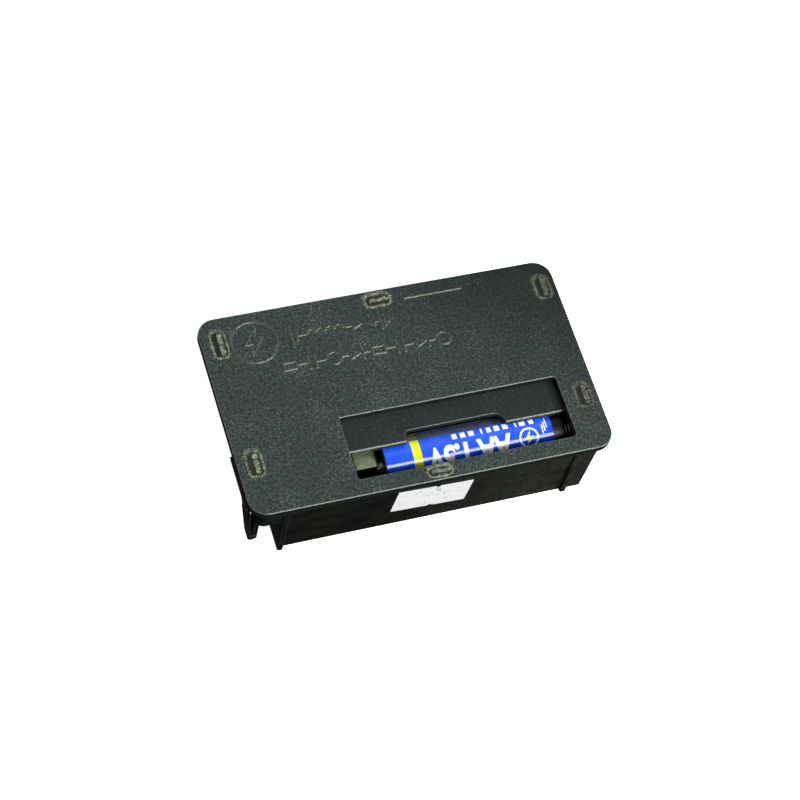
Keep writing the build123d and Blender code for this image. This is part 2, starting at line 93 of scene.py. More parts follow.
def material(name, paint, **choices):
    """A material whose Principled inputs are what paint returns."""
    made = bpy.data.materials.new(name)
    made.use_nodes = True
    tree = made.node_tree
    tree.nodes.clear()
    place = add(tree, "ShaderNodeTexCoord").outputs["Object"]
    surface = add(tree, "ShaderNodeBsdfPrincipled", paint(tree, place, **choices))
    add(tree, "ShaderNodeOutputMaterial", {"Surface": surface.outputs["BSDF"]})
    return made


def as_object(name, mesh, finish, body, stands_for=()):
    """Puts a finished mesh in the scene, riding on a CAD body."""
    mesh.materials.clear()
    mesh.materials.append(finish)
    piece = bpy.data.objects.new(name, mesh)
    bpy.context.collection.objects.link(piece)
    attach(piece, body)
    if stands_for:
        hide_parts(*stands_for)
    return piece


def mesh_of(carrier):
    """The finished mesh of an object with a curve or a modifier; the object goes away."""
    bpy.context.view_layer.update()
    view = carrier.evaluated_get(bpy.context.evaluated_depsgraph_get())
    mesh = bpy.data.meshes.new_from_object(view)
    bpy.data.objects.remove(carrier)
    return mesh


def wire(points, radius, sides=12):
    """Round wire along a path."""
    curve = bpy.data.curves.new("wire", "CURVE")
    curve.dimensions = "3D"
    curve.bevel_depth = radius
    curve.bevel_resolution = sides // 4
    curve.use_fill_caps = True
    spline = curve.splines.new("POLY")
    spline.points.add(len(points) - 1)
    for point, where in zip(spline.points, points):
        point.co = (*where, 1.0)
    carrier = bpy.data.objects.new("wire", curve)
    bpy.context.collection.objects.link(carrier)
    mesh = mesh_of(carrier)
    for face in mesh.polygons:
        face.use_smooth = True
    return mesh


# ---------------------------------------------------------------- materials

def grained_abs(tree, place, deep, shown, film, bloom, speck, worn, dust, streak, grain, polish):
    """Dark ABS from a spark-eroded mould: fine dull grain, dust and grit on up-facing faces, a pale film fading from
    the front-left towards the back-right and, where asked, one rising towards +X, and a painted pale highlight on the
    edges, which are also glossier.
    """
    patches = add(tree, "ShaderNodeTexNoise", {"Vector": place, "Scale": per(12), "Detail": 4})
    mottle = add(tree, "ShaderNodeTexNoise", {"Vector": place, "Scale": per(0.8), "Detail": 4, "Roughness": 0.65})
    fine = add(tree, "ShaderNodeTexNoise", {"Vector": place, "Scale": per(0.34), "Detail": 2, "Roughness": 0.6})
    grit = add(tree, "ShaderNodeTexNoise", {"Vector": place, "Scale": per(0.5), "Detail": 2, "Roughness": 0.5})
    runs = add(tree, "ShaderNodeMapping", {"Vector": place, "Scale": (0.3, 0.3, 1)})
    runs = add(tree, "ShaderNodeTexNoise", {"Vector": runs, "Scale": per(3), "Detail": 4, "Roughness": 0.65})
    facing = add(tree, "ShaderNodeSeparateXYZ", {0: add(tree, "ShaderNodeTexCoord").outputs["Normal"]})
    up = add(tree, "ShaderNodeMapRange", {"Value": facing.outputs["Z"], "From Min": 0.75, "From Max": 0.98})
    film_amount = add(tree, "ShaderNodeMath", {0: up, 1: dust}, operation="MULTIPLY")
    # The film is strongest towards the front-left and fades out towards the back-right.
    corner = add(tree, "ShaderNodeVectorMath", {0: place, 1: (0.62, 0.78, 0)}, operation="DOT_PRODUCT")
    corner = add(tree, "ShaderNodeMapRange", {
        "Value": corner.outputs["Value"], "From Min": 10 * MM, "From Max": 50 * MM, "To Min": 1.0, "To Max": 0.1})
    film_amount = add(tree, "ShaderNodeMath", {0: film_amount, 1: corner}, operation="MULTIPLY")

    # A second film rising from x = -10 mm to x = 30 mm, up to the share given.
    end = add(tree, "ShaderNodeSeparateXYZ", {0: place})
    end = add(tree, "ShaderNodeMapRange", {
        "Value": end.outputs["X"], "From Min": -10 * MM, "From Max": 30 * MM, "To Max": streak})
    film_amount = add(tree, "ShaderNodeMath", {0: film_amount, 1: end}, operation="MAXIMUM")

    runs = add(tree, "ShaderNodeMapRange", {"Value": runs, "From Min": 0.36, "From Max": 0.64})
    body = add(tree, "ShaderNodeMix", {0: runs, 6: colour(deep), 7: colour(shown)}, data_type="RGBA")
    haze = add(tree, "ShaderNodeMapRange", {
        "Value": mottle, "From Min": 0.34, "From Max": 0.66, "To Min": 0.1, "To Max": 1.0})
    haze = add(tree, "ShaderNodeMath", {0: haze, 1: film_amount}, operation="MULTIPLY")
    cloud = add(tree, "ShaderNodeTexNoise", {"Vector": place, "Scale": per(5), "Detail": 3, "Roughness": 0.6})
    cloud = add(tree, "ShaderNodeMapRange", {"Value": cloud, "From Min": 0.4, "From Max": 0.6})
    hue = add(tree, "ShaderNodeMix", {0: cloud, 6: colour(film), 7: colour(bloom)}, data_type="RGBA")
    hazed = add(tree, "ShaderNodeMix", {0: haze, 6: body.outputs[2], 7: hue.outputs[2]}, data_type="RGBA")
    least = add(tree, "ShaderNodeMapRange", {
        "Value": patches, "From Min": 0.35, "From Max": 0.65, "To Min": 0.62, "To Max": 0.54})
    most = add(tree, "ShaderNodeMath", {0: least, 1: 0.12}, operation="ADD")
    pale = add(tree, "ShaderNodeMapRange", {"Value": grit, "From Min": least, "From Max": most})
    pale = add(tree, "ShaderNodeMath", {0: pale, 1: film_amount}, operation="MULTIPLY")
    dusty = add(tree, "ShaderNodeMix", {0: pale, 6: hazed.outputs[2], 7: colour(speck)}, data_type="RGBA")

    # Painted highlight: a pale tint goes on the rounded edges and on faces leaning about 40° from level; these edges
    # are also made smoother and more specular.
    flat = add(tree, "ShaderNodeNewGeometry").outputs["Normal"]
    round_edge = add(tree, "ShaderNodeBevel", {"Radius": 0.4 * MM}, samples=6)
    meet = add(tree, "ShaderNodeVectorMath", {0: flat, 1: round_edge}, operation="DOT_PRODUCT")
    meet = add(tree, "ShaderNodeMapRange", {
        "Value": meet.outputs["Value"], "From Min": 0.997, "From Max": 0.95})
    lean = add(tree, "ShaderNodeSeparateXYZ", {0: flat})
    lean = add(tree, "ShaderNodeMath", {0: lean.outputs["Z"], 1: 0.75}, operation="SUBTRACT")
    lean = add(tree, "ShaderNodeMath", {0: lean}, operation="ABSOLUTE")
    lean = add(tree, "ShaderNodeMapRange", {"Value": lean, "From Min": 0.24, "From Max": 0.2})
    edge = add(tree, "ShaderNodeMath", {0: meet, 1: lean}, operation="MAXIMUM")
    tint_mask = add(tree, "ShaderNodeMapRange", {"Value": mottle, "From Min": 0.25, "From Max": 0.5})
    tint_mask = add(tree, "ShaderNodeMath", {0: edge, 1: tint_mask}, operation="MULTIPLY")
    # Painted highlight: the pale edge tint is mixed over the dusty colour where the edge mask is set.
    tint = add(tree, "ShaderNodeMix", {0: tint_mask, 6: dusty.outputs[2], 7: colour(worn)}, data_type="RGBA")
    edge = add(tree, "ShaderNodeMath", {0: edge, 1: polish}, operation="MULTIPLY")

    bump = add(tree, "ShaderNodeBump", {
        "Height": fine, "Distance": 0.03 * MM, "Strength": grain, "Normal": round_edge})
    bump = add(tree, "ShaderNodeBump", {"Height": mottle, "Distance": 0.05 * MM, "Strength": grain, "Normal": bump})
    gloss = add(tree, "ShaderNodeMapRange", {"Value": patches, "To Min": 0.38, "To Max": 0.58})
    shiny = add(tree, "ShaderNodeMix", {0: edge, 2: gloss, 3: 0.22})
    skin = add(tree, "ShaderNodeMix", {0: edge, 2: 0.26, 3: 0.7})
    return {"Base Color": tint.outputs[2], "Roughness": shiny, "Normal": bump, "Specular IOR Level": skin}


def melted_abs(tree, place):
    """ABS melted with a hot tip: painted highlight on the high ridges, painted shade in the low hollows, scorched brown
    streaks, and darker towards +X.
    """
    lumps = add(tree, "ShaderNodeTexNoise", {"Vector": place, "Scale": per(0.9), "Detail": 4, "Distortion": 0.8})
    scorch = add(tree, "ShaderNodeTexNoise", {"Vector": place, "Scale": per(2.2), "Detail": 3})
    # Painted highlight and painted shade: the tone turns paler the higher it stands over the lid top and darker in the
    # low hollows.
    height = add(tree, "ShaderNodeSeparateXYZ", {0: place})
    height = add(tree, "ShaderNodeMapRange", {
        "Value": height.outputs["Z"], "From Min": LID_TOP - 0.3 * MM, "From Max": LID_TOP + 0.2 * MM})
    ridge = add(tree, "ShaderNodeMix", {0: 0.5, 2: height, 3: lumps})
    tone = add(tree, "ShaderNodeValToRGB", {0: ridge},
               stops=[(0.25, "050704"), (0.42, "1a1f16"), (0.57, "363e30"), (0.7, "6b735f"), (0.84, "a6ad96")])
    brown = add(tree, "ShaderNodeMapRange", {"Value": scorch, "From Min": 0.52, "From Max": 0.72, "To Max": 0.3})
    tint = add(tree, "ShaderNodeMix", {0: brown, 6: tone.outputs[0], 7: colour("43301f")}, data_type="RGBA")
    # Darker towards +X, from x = 0 to x = 40 mm.
    along = add(tree, "ShaderNodeSeparateXYZ", {0: place})
    darker_to_plus_x = add(tree, "ShaderNodeMapRange", {"Value": along.outputs["X"], "From Max": 40 * MM, "To Max": 0.6})
    tint = add(tree, "ShaderNodeMix", {0: darker_to_plus_x, 6: tint.outputs[2], 7: colour("11140f")}, data_type="RGBA")
    bump = add(tree, "ShaderNodeBump", {"Height": lumps, "Distance": 0.12 * MM, "Strength": 0.8})
    gloss = add(tree, "ShaderNodeMapRange", {"Value": lumps, "To Min": 0.65, "To Max": 0.35})
    return {"Base Color": tint.outputs[2], "Roughness": gloss, "Normal": bump}


def nickel_strip(tree, place):
    """Nickel-plated strip: long rolling lines, greenish tarnish and small dull stains."""
    stretched = add(tree, "ShaderNodeMapping", {"Vector": place, "Scale": (0.08, 1, 1)})
    lines = add(tree, "ShaderNodeTexNoise", {"Vector": stretched, "Scale": per(0.25), "Detail": 3})
    stains = add(tree, "ShaderNodeTexNoise", {"Vector": place, "Scale": per(2.0), "Detail": 5, "Roughness": 0.6})
    tint = add(tree, "ShaderNodeValToRGB", {0: stains}, stops=[(0.3, "a9bb90"), (0.5, "cddcb4"), (0.7, "ecf6da")])
    gloss = add(tree, "ShaderNodeMapRange", {"Value": stains, "To Min": 0.34, "To Max": 0.55})
    bump = add(tree, "ShaderNodeBump", {"Height": lines, "Distance": 0.01 * MM, "Strength": 0.6})
    return {"Base Color": tint, "Roughness": gloss, "Metallic": 1.0, "Normal": bump}


def bright_wire(tree, place):
    """Drawn and nickelled steel: fine die lines and a few dull spots."""
    spots = add(tree, "ShaderNodeTexNoise", {"Vector": place, "Scale": per(0.8), "Detail": 4})
    lines = add(tree, "ShaderNodeTexNoise", {"Vector": place, "Scale": per(0.12), "Detail": 2})
    tint = add(tree, "ShaderNodeValToRGB", {0: spots}, stops=[(0.3, "9c9c98"), (0.6, "d0d0cc")])
    gloss = add(tree, "ShaderNodeMapRange", {"Value": spots, "To Min": 0.18, "To Max": 0.36})
    bump = add(tree, "ShaderNodeBump", {"Height": lines, "Distance": 0.004 * MM, "Strength": 0.5})
    return {"Base Color": tint, "Roughness": gloss, "Metallic": 1.0, "Normal": bump}


def sticker_paper(tree, place):
    """Coated sticker paper: a slight fibre cloud, a grey rub mark and dusty edges."""
    fibre = add(tree, "ShaderNodeTexNoise", {"Vector": place, "Scale": per(0.4), "Detail": 5, "Roughness": 0.7})
    smear = add(tree, "ShaderNodeTexNoise", {"Vector": place, "Scale": per(2.0), "Detail": 4, "Distortion": 1.5})
    paper = add(tree, "ShaderNodeValToRGB", {0: fibre}, stops=[(0.25, "eaebe8"), (0.6, "fafbfa")])
    tint_mask = add(tree, "ShaderNodeMapRange", {"Value": smear, "From Min": 0.56, "From Max": 0.7, "To Max": 0.6})
    tint = add(tree, "ShaderNodeMix", {0: tint_mask, 6: paper.outputs[0], 7: colour("a9acae")}, data_type="RGBA")
    bump = add(tree, "ShaderNodeBump", {"Height": fibre, "Distance": 0.01 * MM, "Strength": 0.5})
    return {"Base Color": tint.outputs[2], "Roughness": 0.55, "Normal": bump}


def laminate(tree, place):
    """Phenolic paper board: tan, with pressed paper fibres running along it."""
    stretched = add(tree, "ShaderNodeMapping", {"Vector": place, "Scale": (0.15, 1, 1)})
    fibre = add(tree, "ShaderNodeTexNoise", {"Vector": stretched, "Scale": per(0.3), "Detail": 5})
    tint = add(tree, "ShaderNodeValToRGB", {0: fibre}, stops=[(0.3, "8a6236"), (0.6, "b58a52")])
    bump = add(tree, "ShaderNodeBump", {"Height": fibre, "Distance": 0.01 * MM, "Strength": 0.5})
    return {"Base Color": tint, "Roughness": 0.5, "Normal": bump}


def sintered(tree, place):
    """Sintered ferrite: charcoal with a sandy surface and ground faces."""
    grains = add(tree, "ShaderNodeTexNoise", {"Vector": place, "Scale": per(0.15), "Detail": 4})
    tint = add(tree, "ShaderNodeValToRGB", {0: grains}, stops=[(0.3, "26272a"), (0.7, "4b4c50")])
    bump = add(tree, "ShaderNodeBump", {"Height": grains, "Distance": 0.02 * MM, "Strength": 0.7})
    return {"Base Color": tint, "Roughness": 0.55, "Normal": bump}


def nylon(tree, place):
    """Natural nylon: milky, slightly see-through, with faint flow marks."""
    flow = add(tree, "ShaderNodeTexNoise", {"Vector": place, "Scale": per(4.0), "Detail": 3, "Distortion": 1.2})
    tint = add(tree, "ShaderNodeValToRGB", {0: flow}, stops=[(0.3, "d8d2bd"), (0.7, "ebe6d6")])
    bump = add(tree, "ShaderNodeBump", {"Height": flow, "Distance": 0.02 * MM, "Strength": 0.3})
    return {"Base Color": tint, "Roughness": 0.4, "Subsurface Weight": 0.3,
            "Subsurface Radius": (1.5 * MM, 1.2 * MM, 0.9 * MM), "Normal": bump}


def enamelled(tree, place):
    """Enamelled copper wire: amber lacquer over copper, turn after turn."""
    turns = add(tree, "ShaderNodeTexWave", {"Vector": place, "Scale": per(0.35) / 20, "Distortion": 0.3},
                bands_direction="X")
    cloud = add(tree, "ShaderNodeTexNoise", {"Vector": place, "Scale": per(1.5), "Detail": 3})
    tint = add(tree, "ShaderNodeValToRGB", {0: cloud}, stops=[(0.3, "8e3f1c"), (0.7, "c26a35")])
    bump = add(tree, "ShaderNodeBump", {"Height": turns, "Distance": 0.08 * MM, "Strength": 0.9})
    return {"Base Color": tint, "Roughness": 0.25, "Metallic": 0.7, "Coat Weight": 0.6, "Normal": bump}


def cast_resin(tree, place, low, high):
    """Cast or moulded component body: even resin with a slight orange peel."""
    peel = add(tree, "ShaderNodeTexNoise", {"Vector": place, "Scale": per(0.7), "Detail": 3})
    tint = add(tree, "ShaderNodeValToRGB", {0: peel}, stops=[(0.3, low), (0.7, high)])
    bump = add(tree, "ShaderNodeBump", {"Height": peel, "Distance": 0.02 * MM, "Strength": 0.5})
    gloss = add(tree, "ShaderNodeMapRange", {"Value": peel, "To Min": 0.25, "To Max": 0.45})
    return {"Base Color": tint, "Roughness": gloss, "Normal": bump}


def stamped_brass(tree, place):
    """Stamped brass blade: straw yellow with rolling lines and darker handled spots."""
    stretched = add(tree, "ShaderNodeMapping", {"Vector": place, "Scale": (1, 1, 0.1)})
    lines = add(tree, "ShaderNodeTexNoise", {"Vector": stretched, "Scale": per(0.2), "Detail": 3})
    spots = add(tree, "ShaderNodeTexNoise", {"Vector": place, "Scale": per(2.5), "Detail": 5})
    tint = add(tree, "ShaderNodeValToRGB", {0: spots}, stops=[(0.3, "a98445"), (0.65, "dcc07c")])
    bump = add(tree, "ShaderNodeBump", {"Height": lines, "Distance": 0.008 * MM, "Strength": 0.6})
    return {"Base Color": tint, "Roughness": 0.3, "Metallic": 1.0, "Normal": bump}


def plated_can(tree, place):
    """Nickel-plated deep-drawn steel: bright, with drawing lines round it and faint haze."""
    haze = add(tree, "ShaderNodeTexNoise", {"Vector": place, "Scale": per(1.6), "Detail": 4})
    tint = add(tree, "ShaderNodeValToRGB", {0: haze}, stops=[(0.3, "a9a8a0"), (0.7, "dad9d2")])
    gloss = add(tree, "ShaderNodeMapRange", {"Value": haze, "To Min": 0.14, "To Max": 0.32})
    bump = add(tree, "ShaderNodeBump", {"Height": haze, "Distance": 0.01 * MM, "Strength": 0.3})
    return {"Base Color": tint, "Roughness": gloss, "Metallic": 1.0, "Normal": bump}


def printed_film(tree, place):
    """Glossy printed sleeve: deep blue and one yellow ring, with painted shade along the back, a dull grey band with
    pale flecks, and a painted highlight line along its horizon.
    """
    spot = add(tree, "ShaderNodeSeparateXYZ", {0: place})
    across = add(tree, "ShaderNodeMath", {0: spot.outputs["Y"], 1: CELL_Y}, operation="SUBTRACT")
    above = add(tree, "ShaderNodeMath", {0: spot.outputs["Z"], 1: CELL_Z}, operation="SUBTRACT")
    turn = add(tree, "ShaderNodeMath", {0: across, 1: above}, operation="ARCTAN2")
    ring = add(tree, "ShaderNodeMapRange", {"Value": spot.outputs["X"], "From Min": -2.85 * MM, "From Max": -2.75 * MM})
    past = add(tree, "ShaderNodeMapRange", {"Value": spot.outputs["X"], "From Min": -0.5 * MM, "From Max": -0.4 * MM})
    ring = add(tree, "ShaderNodeMath", {0: ring, 1: past}, operation="SUBTRACT")
    cloud = add(tree, "ShaderNodeTexNoise", {"Vector": place, "Scale": per(5), "Detail": 3})
    blue = add(tree, "ShaderNodeValToRGB", {0: cloud}, stops=[(0.3, "1a50e8"), (0.7, "2060fb")])
    print_tint = add(tree, "ShaderNodeMix", {0: ring, 6: blue.outputs[0], 7: colour("e6ec1c")}, data_type="RGBA")
    # Painted shade: past about 17° round towards the back the sleeve turns dull grey, and its pale flecks are painted
    # reflections of the print.
    shade_band = add(tree, "ShaderNodeMapRange", {"Value": turn, "From Min": math.radians(15), "From Max": math.radians(19)})
    fleck_noise = add(tree, "ShaderNodeTexNoise", {"Vector": place, "Scale": per(0.7), "Detail": 4, "Roughness": 0.7})
    dull = add(tree, "ShaderNodeValToRGB", {0: fleck_noise}, stops=[(0.4, "3c4245"), (0.62, "565d5f"), (0.72, "a2a8a6")])
    shade_band = add(tree, "ShaderNodeMath", {0: shade_band, 1: 0.93}, operation="MULTIPLY")
    # Painted highlight: a pale line along the cell's horizon, about 42° round towards the back.
    horizon_line = add(tree, "ShaderNodeMath", {0: turn, 1: math.radians(42)}, operation="SUBTRACT")
    horizon_line = add(tree, "ShaderNodeMath", {0: horizon_line}, operation="ABSOLUTE")
    horizon_line = add(tree, "ShaderNodeMapRange", {"Value": horizon_line, "From Min": math.radians(2.2), "From Max": math.radians(1)})
    shade_with_line = add(tree, "ShaderNodeMix", {0: horizon_line, 6: dull.outputs[0], 7: colour("8b918c")}, data_type="RGBA")
    tint = add(tree, "ShaderNodeMix", {0: shade_band, 6: print_tint.outputs[2], 7: shade_with_line.outputs[2]}, data_type="RGBA")
    gloss = add(tree, "ShaderNodeMapRange", {"Value": shade_band, "To Min": 0.13, "To Max": 0.5})
    bump = add(tree, "ShaderNodeBump", {"Height": cloud, "Distance": 0.02 * MM, "Strength": 0.3})
    return {"Base Color": tint.outputs[2], "Roughness": gloss, "Coat Weight": 0.5,
            "Coat Roughness": 0.05, "Normal": bump}


def print_ink(tree, place, low, high):
    """Opaque print on the sleeve: a little uneven, under the same gloss."""
    cloud = add(tree, "ShaderNodeTexNoise", {"Vector": place, "Scale": per(0.8), "Detail": 3})
    tint = add(tree, "ShaderNodeValToRGB", {0: cloud}, stops=[(0.3, low), (0.65, high)])
    bump = add(tree, "ShaderNodeBump", {"Height": cloud, "Distance": 0.005 * MM, "Strength": 0.3})
    return {"Base Color": tint, "Roughness": 0.22, "Coat Weight": 0.4, "Normal": bump}


def shop_floor(tree, place):
    """Pale matt sweep the part stands on."""
    cloud = add(tree, "ShaderNodeTexNoise", {"Vector": place, "Scale": per(60), "Detail": 3})
    tint = add(tree, "ShaderNodeValToRGB", {0: cloud}, stops=[(0.3, "f6f6f6"), (0.7, "fafafa")])
    return {"Base Color": tint, "Roughness": 0.9, "Emission Color": tint, "Emission Strength": 0.93}


lid_abs = material("spark_eroded_ABS_dusty", grained_abs,
                   deep="0e1413", shown="151c1b", film="404f4a", bloom="454c4c", speck="66726c",
                   worn="596153", dust=0.85, streak=0.0, grain=0.8, polish=1.0)
case_abs = material("moulded_ABS_grained", grained_abs,
                    deep="020302", shown="171912", film="3c443e", bloom="343029", speck="5c605a",
                    worn="34382f", dust=0.3, streak=0.55, grain=0.7, polish=0.35)
cover_abs = material("moulded_ABS_smooth", grained_abs,
                     deep="171e1d", shown="1e2725", film="2f3836", bloom="333638", speck="4d5652",
                     worn="5b6358", dust=0.4, streak=0.0, grain=0.35, polish=1.0)
white_ink = material("white_flexo_ink", print_ink, low="eef0f2", high="ffffff")
yellow_ink = material("yellow_flexo_ink", print_ink, low="dfe41c", high="eef23a")

finishes = {
    "case_plastic": case_abs,
    "melted_plastic": material("heat_staked_ABS", melted_abs),
    "contact_metal": material("nickel_plated_strip", nickel_strip),
    "spring_steel": material("nickelled_spring_wire", bright_wire),
    "label_paper": material("coated_sticker_paper", sticker_paper),
    "board_laminate": material("phenolic_paper_board", laminate),
    "ferrite": material("sintered_ferrite", sintered),
    "former_plastic": material("natural_nylon_moulding", nylon),
    "copper_wire": material("enamelled_copper_winding", enamelled),
    "film_box": material("cast_red_resin", cast_resin, low="7c1a12", high="a62b1e"),
    "can_sleeve": material("shrunk_blue_PVC", cast_resin, low="131c36", high="1d2c52"),
    "epoxy_black": material("transfer_moulded_epoxy", cast_resin, low="161616", high="262626"),
    "resistor_body": material("lacquered_film_resistor", cast_resin, low="b08a5a", high="c9a472"),
    "band_grey": material("printed_cathode_band", cast_resin, low="b4b4b4", high="d2d2d2"),
    "terminal_brass": material("stamped_brass", stamped_brass),
    "lead_red": material("red_PVC_insulation", cast_resin, low="8e1410", high="b4201a"),
    "lead_black": material("black_PVC_insulation", cast_resin, low="121212", high="222222"),
    "lead_white": material("white_silicone_insulation", cast_resin, low="cfccc2", high="e2dfd6"),
    "cell_steel": material("nickel_plated_drawn_steel", plated_can),
    "cell_print": material("printed_shrink_sleeve", printed_film),
    "cell_mix": material("pressed_powder_mix", sintered),
    "cell_dark_band": material("black_shrink_sleeve_edge", cast_resin, low="050506", high="0c0c0f"),
}
for node in nodes.values():
    for place in node.material_slots:
        place.material = finishes[place.material.name]
nodes["lid_plate"].material_slots[0].material = lid_abs
nodes["battery_cover"].material_slots[0].material = cover_abs


# ---------------------------------------------------------------- melted heat stakes

def melted_stake_tree(finish):
    """Geometry Nodes: a ribbed ring and a slumped bar of beads on a slab, melted into one lump."""
    tree = bpy.data.node_groups.new("melted stake", "GeometryNodeTree")
    wanted = [("Across", "NodeSocketFloat", 5 * MM), ("Along", "NodeSocketFloat", 8 * MM),
              ("Bar", "NodeSocketVector", (0, 2 * MM, 0)), ("Place", "NodeSocketVector", (0, 0, 0)),
              ("Seed", "NodeSocketInt", 1)]
    for label, kind, start in wanted:
        socket = tree.interface.new_socket(name=label, in_out="INPUT", socket_type=kind)
        socket.default_value = start
    tree.interface.new_socket(name="Geometry", in_out="OUTPUT", socket_type="NodeSocketGeometry")
    given = add(tree, "NodeGroupInput").outputs
    ball = add(tree, "GeometryNodeMeshIcoSphere", {"Radius": 1.0, "Subdivisions": 3})

    outline = add(tree, "GeometryNodeCurvePrimitiveQuadrilateral", {"Width": given["Across"], "Height": given["Along"]})
    outline = add(tree, "GeometryNodeFilletCurve", {"Curve": outline, "Radius": 1.3 * MM, "Count": 6}, mode="POLY")
    outline = add(tree, "GeometryNodeResampleCurve", {"Curve": outline, "Count": 34}, mode="COUNT")
    tangent = add(tree, "GeometryNodeInputTangent")
    across = add(tree, "FunctionNodeAlignRotationToVector", {"Vector": tangent}, axis="X")
    rib = add(tree, "FunctionNodeRandomValue", {
        0: (0.18 * MM, 0.45 * MM, 0.2 * MM), 1: (0.30 * MM, 0.85 * MM, 0.42 * MM), "Seed": given["Seed"]},
        data_type="FLOAT_VECTOR")
    ring = add(tree, "GeometryNodeInstanceOnPoints", {
        "Points": outline, "Instance": ball, "Rotation": across, "Scale": rib.outputs[0]})
    bead = add(tree, "GeometryNodeCurvePrimitiveCircle", {"Radius": 0.36 * MM, "Resolution": 12})
    rolled = add(tree, "GeometryNodeCurveToMesh", {"Curve": outline, "Profile Curve": bead})
    rolled = add(tree, "GeometryNodeTransform", {"Geometry": rolled, "Translation": (0, 0, -0.2 * MM)})

    back = add(tree, "ShaderNodeVectorMath", {0: given["Bar"], "Scale": -1.0}, operation="SCALE")
    line = add(tree, "GeometryNodeCurvePrimitiveLine", {"Start": back, "End": given["Bar"]})
    line = add(tree, "GeometryNodeResampleCurve", {"Curve": line, "Count": 22}, mode="COUNT")
    stray = add(tree, "FunctionNodeRandomValue", {
        0: (0.1 * MM, -0.2 * MM, -0.14 * MM), 1: (0.8 * MM, 0.3 * MM, 0.08 * MM), "Seed": given["Seed"]},
        data_type="FLOAT_VECTOR")
    line = add(tree, "GeometryNodeSetPosition", {"Geometry": line, "Offset": stray.outputs[0]})
    lump = add(tree, "FunctionNodeRandomValue", {
        0: (0.5 * MM, 0.30 * MM, 0.2 * MM), 1: (1.0 * MM, 0.5 * MM, 0.38 * MM), "Seed": given["Seed"]},
        data_type="FLOAT_VECTOR")
    bar = add(tree, "GeometryNodeInstanceOnPoints", {"Points": line, "Instance": ball, "Scale": lump.outputs[0]})

    slab_size = add(tree, "ShaderNodeCombineXYZ", {"X": given["Across"], "Y": given["Along"], "Z": 0.3 * MM})
    slab = add(tree, "GeometryNodeMeshCube", {"Size": slab_size})
    slab = add(tree, "GeometryNodeTransform", {"Geometry": slab, "Translation": (0, 0, -0.3 * MM)})

    joined = add(tree, "GeometryNodeJoinGeometry")
    for part in (ring, rolled, bar, slab):
        tree.links.new(part.outputs[0], joined.inputs[0])
    joined = add(tree, "GeometryNodeRealizeInstances", {"Geometry": joined})
    cloud = add(tree, "GeometryNodeMeshToVolume", {"Mesh": joined, "Voxel Size": 0.09 * MM,
                                                   "Interior Band Width": 0.4 * MM},
                resolution_mode="VOXEL_SIZE")
    melt = add(tree, "GeometryNodeVolumeToMesh", {"Volume": cloud, "Voxel Size": 0.09 * MM, "Threshold": 0.2},
               resolution_mode="VOXEL_SIZE")
    where = add(tree, "GeometryNodeInputPosition")
    drift = add(tree, "ShaderNodeVectorMath", {0: where, 1: given["Place"]}, operation="ADD")
    rough = add(tree, "ShaderNodeTexNoise", {"Vector": drift, "Scale": per(0.7), "Detail": 3})
    swell = add(tree, "ShaderNodeMapRange", {"Value": rough, "To Min": -0.12 * MM, "To Max": 0.1 * MM})
    push = add(tree, "ShaderNodeVectorMath", {0: add(tree, "GeometryNodeInputNormal"), "Scale": swell.outputs[0]},
               operation="SCALE")
    melt = add(tree, "GeometryNodeSetPosition", {"Geometry": melt, "Offset": push})
    flat = add(tree, "ShaderNodeVectorMath", {0: where, 1: (1, 1, 0.16 * MM)}, operation="MINIMUM")
    melt = add(tree, "GeometryNodeSetPosition", {"Geometry": melt, "Position": flat})
    melt = add(tree, "GeometryNodeTransform", {"Geometry": melt, "Translation": given["Place"]})
    melt = add(tree, "GeometryNodeSetShadeSmooth", {"Geometry": melt})
    melt = add(tree, "GeometryNodeRealizeInstances", {"Geometry": melt})
    melt = add(tree, "GeometryNodeSetMaterial", {"Geometry": melt, "Material": finish})
    add(tree, "NodeGroupOutput", {"Geometry": melt})
    return tree


def grown(tree, **values):
    """Runs a Geometry Nodes tree with these inputs and keeps only the mesh."""
    carrier = bpy.data.objects.new("grown", bpy.data.meshes.new("grown"))
    bpy.context.collection.objects.link(carrier)
    modifier = carrier.modifiers.new("grown", "NODES")
    modifier.node_group = tree
    for item in tree.interface.items_tree:
        if item.in_out == "INPUT" and item.name in values:
            modifier[item.identifier] = values[item.name]
    return mesh_of(carrier)


# Centre x, centre y, length along X and length along Y of each stake, in millimetres
STAKES = [(-44.2, 21.0, 5.0, 9.2), (0.0, 25.9, 8.2, 4.8), (45.0, 20.8, 5.2, 8.0),
          (45.0, -13.2, 5.2, 8.0), (1.1, -26.5, 7.8, 4.0), (-44.4, -14.4, 5.2, 8.4)]
STAKE_BAR_INSET = 1.7
STAKE_RIM = 1.0
stake_tree = melted_stake_tree(finishes["melted_plastic"])
for number, (x, y, across, along) in enumerate(STAKES):
    reach = max(across, along) / 2 - STAKE_BAR_INSET
    bar = (reach * MM, 0, 0) if across > along else (0, reach * MM, 0)
    mesh = grown(stake_tree, Across=(across - STAKE_RIM) * MM, Along=(along - STAKE_RIM) * MM, Bar=bar,
                 Place=(x * MM, y * MM, LID_TOP), Seed=number + 3)
    as_object(f"melted_stake_{number + 1}", mesh, finishes["melted_plastic"], "housing",
              ["heat_stakes"])


# ---------------------------------------------------------------- battery spring

